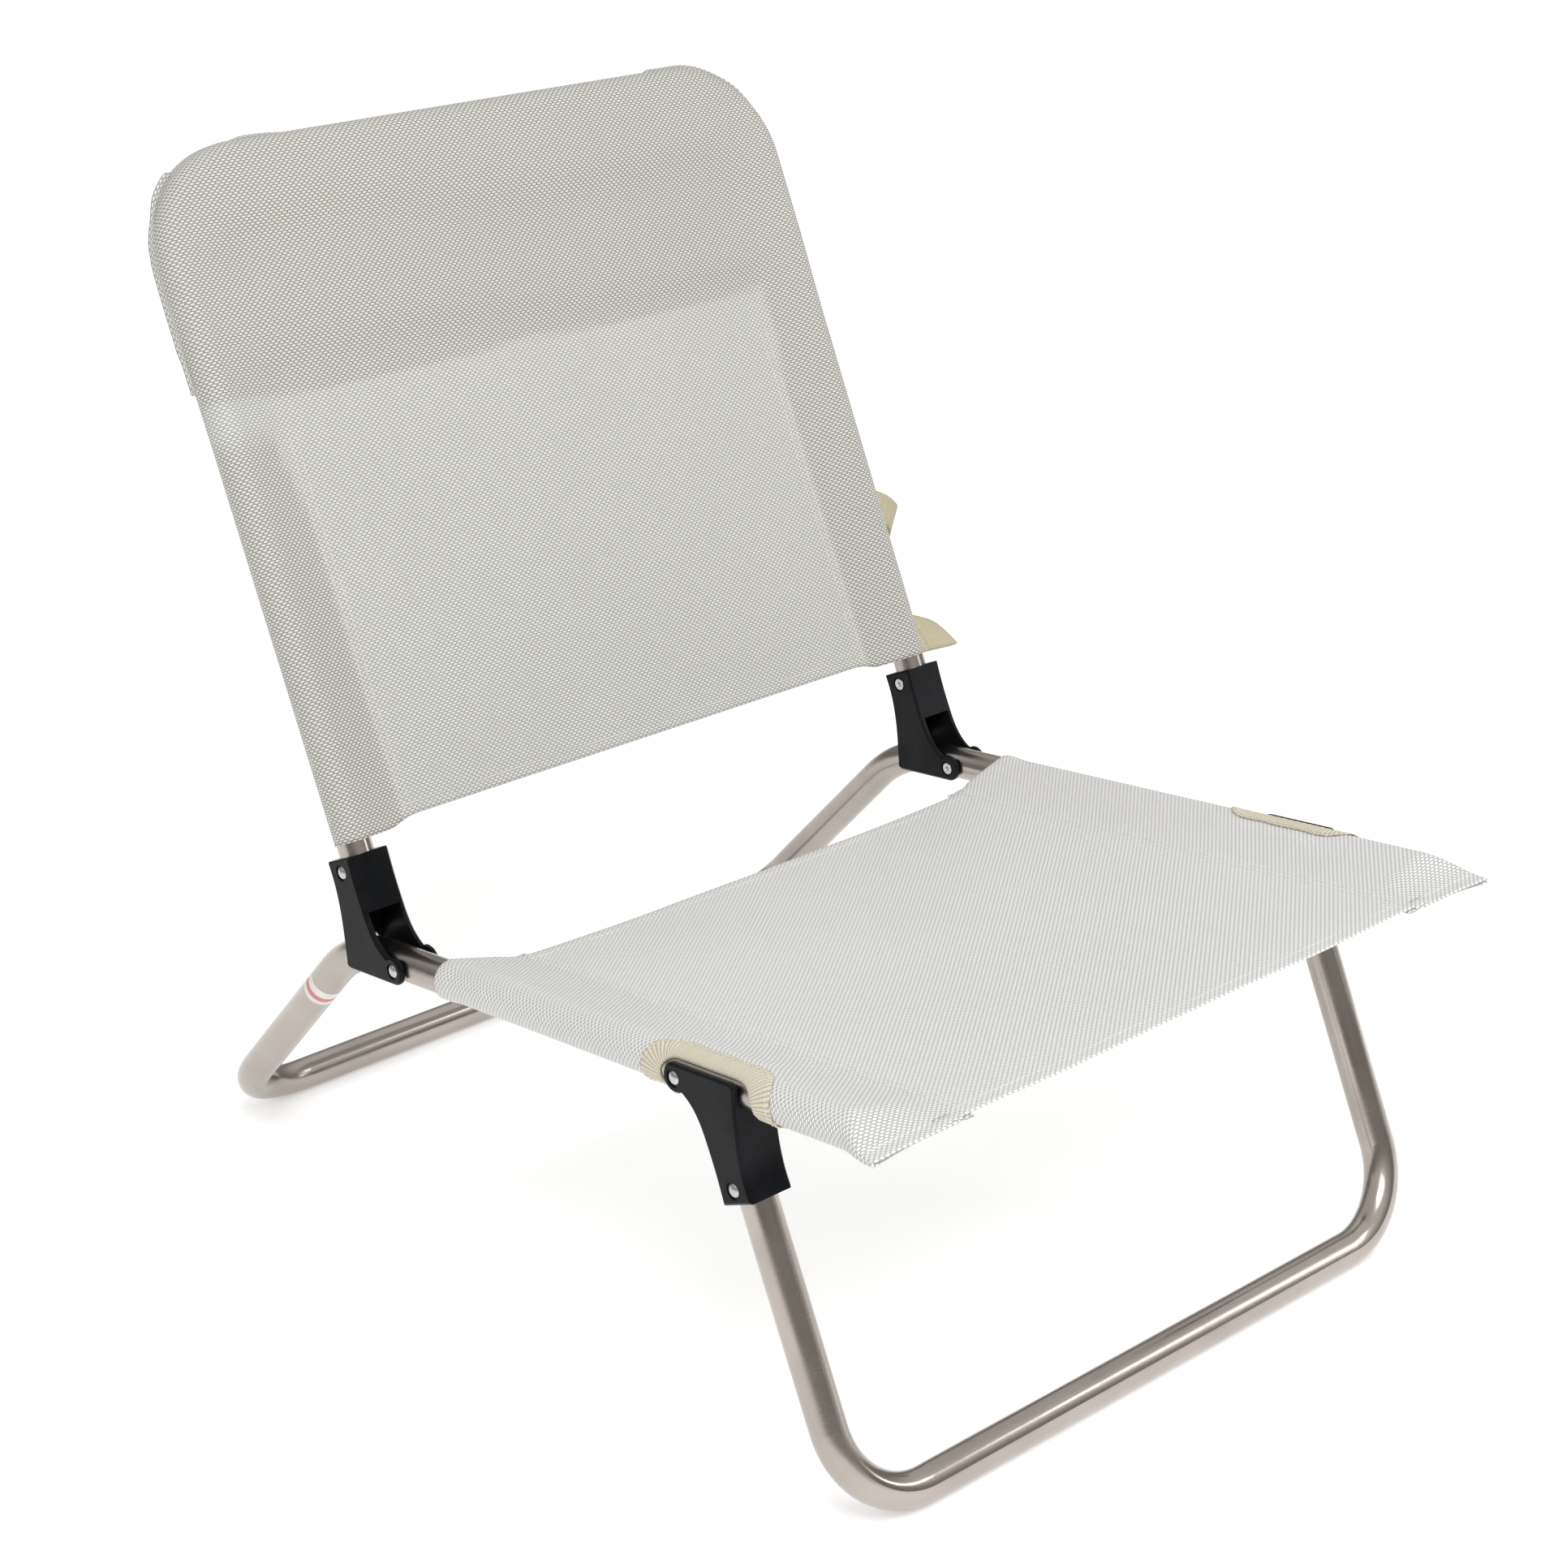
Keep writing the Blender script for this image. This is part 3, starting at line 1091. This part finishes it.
seat_sling_cloth = sling_material(
    "seat_sling_cloth",
    yarn=(0.90, 0.90, 0.885, 1),
    single_gap=(0.42, 0.41, 0.40, 1),
    double_gap=(0.38, 0.37, 0.36, 1),
    double_yarn=(0.89, 0.89, 0.875, 1),
)
back_sling_cloth = sling_material(
    "back_sling_cloth",
    yarn=(0.76, 0.755, 0.72, 1),
    single_gap=(0.30, 0.295, 0.275, 1),
    double_gap=(0.17, 0.165, 0.14, 1),
    double_yarn=(0.71, 0.70, 0.65, 1),
)
beige_binding = webbing_material(
    "beige_binding", light=(0.74, 0.69, 0.55, 1), dark=(0.42, 0.36, 0.24, 1), rib=0.0015, pick=0.0012
)
beige_strap = webbing_material(
    "beige_strap", light=(0.66, 0.60, 0.42, 1), dark=(0.40, 0.34, 0.19, 1), rib=0.0013, pick=0.0013
)
anodised_tube = metal_material(
    "anodised_tube", (0.44, 0.40, 0.365, 1), rough=0.16, rough_range=0.12, coarse=14, fine=900, depth=0.00002
)
rivet_metal = metal_material(
    "rivet_metal", (0.55, 0.54, 0.53, 1), rough=0.22, rough_range=0.15, coarse=120, fine=1500, depth=0.00003
)
black_bracket = plastic_material(
    "black_bracket", (0.004, 0.0045, 0.0055, 1), rough=0.24, coarse=30.0, specular=0.09
)
grey_plug = plastic_material("grey_plug", (0.05, 0.05, 0.055, 1), rough=0.45, coarse=60.0)
nylon_bush = plastic_material("nylon_bush", (0.55, 0.54, 0.50, 1), rough=0.50, coarse=60.0)
sewing_thread = thread_material()
paper_label = label_material()

node_finishes = (
    ("frame_tube", anodised_tube),
    ("leg_tube", anodised_tube),
    ("rivet", rivet_metal),
    ("bracket", black_bracket),
    ("plug", grey_plug),
    ("bush", nylon_bush),
    ("label", paper_label),
)


def finish_hardware():
    for name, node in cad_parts.items():
        for part, material in node_finishes:
            if part in name:
                node.data.materials.clear()
                node.data.materials.append(material)
                break


# ---- putting the chair together ----
finish_hardware()
seat = seat_cloth()
seat.data.materials.append(seat_sling_cloth)
back = back_cloth()
back.data.materials.append(back_sling_cloth)
for side, word in TWO_SIDES:
    gap_binding(side, word).data.materials.append(beige_binding)
    hood_seam(side, word).data.materials.append(back_sling_cloth)
    binding_stitching(side, word, sewing_thread)
strap, strap_seams = carry_strap()
strap.data.materials.append(beige_strap)
stitch_rows("strap_stitching", "backrest", strap_seams, sewing_thread, pitch=0.003, radius=0.00035)
seat_stitching(sewing_thread)
back_stitching(sewing_thread)


# ---- floor, light and camera ----
def stage_floor():
    """A plain pale floor: rings that widen out to the horizon."""
    sides = 48
    turns = np.linspace(0, 2 * math.pi, sides, endpoint=False)
    mesh = bpy.data.meshes.new("studio_floor")
    build = bmesh.new()
    rows = []
    for k in range(7):
        radius = 0.05 * 2.6**k
        rows.append([build.verts.new((radius * math.cos(t), radius * math.sin(t), 0)) for t in turns])
    build.faces.new(rows[0])
    for one, two in zip(rows[:-1], rows[1:]):
        for i in range(sides):
            build.faces.new((one[i], two[i], two[(i + 1) % sides], one[(i + 1) % sides]))
    build.to_mesh(mesh)
    build.free()
    floor = bpy.data.objects.new("studio_floor", mesh)
    floor.location.z = -0.0005
    scene.collection.objects.link(floor)
    material, tree, surface = new_material("pale_floor")
    marks = use_group(tree, wear_group, Place=object_place(tree), Coarse=3.0, Fine=60.0)
    pale = mix_colour(tree, marks["Grain"], (0.93, 0.93, 0.93, 1), (0.95, 0.95, 0.95, 1))
    put(tree, surface["Base Color"], pale)
    surface["Roughness"].default_value = 0.9
    surface["Specular IOR Level"].default_value = 0.1
    surface["Emission Color"].default_value = (1, 1, 1, 1)
    surface["Emission Strength"].default_value = 0.33
    mesh.materials.append(material)


def area_light(name, place, target, size, power, colour=(1, 1, 1)):
    data = bpy.data.lights.new(name, "AREA")
    data.shape = "RECTANGLE"
    data.size, data.size_y = size
    data.energy = power
    data.color = colour
    light = bpy.data.objects.new(name, data)
    light.location = place
    light.rotation_mode = "QUATERNION"
    light.rotation_quaternion = (Vector(target) - Vector(place)).to_track_quat("-Z", "Y")
    scene.collection.objects.link(light)


def studio_light():
    world = bpy.data.worlds.new("studio")
    scene.world = world
    world.use_nodes = True
    tree = world.node_tree
    split = tree.nodes.new("ShaderNodeSeparateXYZ")
    tree.links.new(tree.nodes.new("ShaderNodeTexCoord").outputs["Generated"], split.inputs[0])
    ceiling = spread(tree, split.outputs["Z"], 0.12, 0.72)
    colour = mix_colour(tree, ceiling, (0.26, 0.245, 0.23, 1), (0.86, 0.86, 0.86, 1))
    put(tree, tree.nodes["Background"].inputs["Color"], colour)
    area_light("key", (-0.8, -1.5, 2.4), (0, 0, 0.2), (1.4, 1.4), 35)
    area_light("side_strip", (1.7, -1.5, 1.2), (0, 0, 0.3), (0.25, 1.6), 6)


def studio_camera():
    azimuth, elevation, roll = (math.radians(degrees) for degrees in camera_turn)
    back = Vector(
        (
            math.sin(azimuth) * math.cos(elevation),
            -math.cos(azimuth) * math.cos(elevation),
            math.sin(elevation),
        )
    )
    level_right = (-back).cross(Vector((0, 0, 1))).normalized()
    level_up = level_right.cross(-back)
    right = level_right * math.cos(roll) + level_up * math.sin(roll)
    up = level_up * math.cos(roll) - level_right * math.sin(roll)
    data = bpy.data.cameras.new("camera")
    data.lens = camera_lens
    data.sensor_width = camera_sensor
    data.clip_start, data.clip_end = 0.05, 50
    camera = bpy.data.objects.new("camera", data)
    matrix = Matrix((right, up, back)).transposed().to_4x4()
    matrix.translation = Vector(camera_place)
    camera.matrix_world = matrix
    scene.collection.objects.link(camera)
    scene.camera = camera


stage_floor()
studio_light()
studio_camera()
scene.view_settings.view_transform = "Standard"
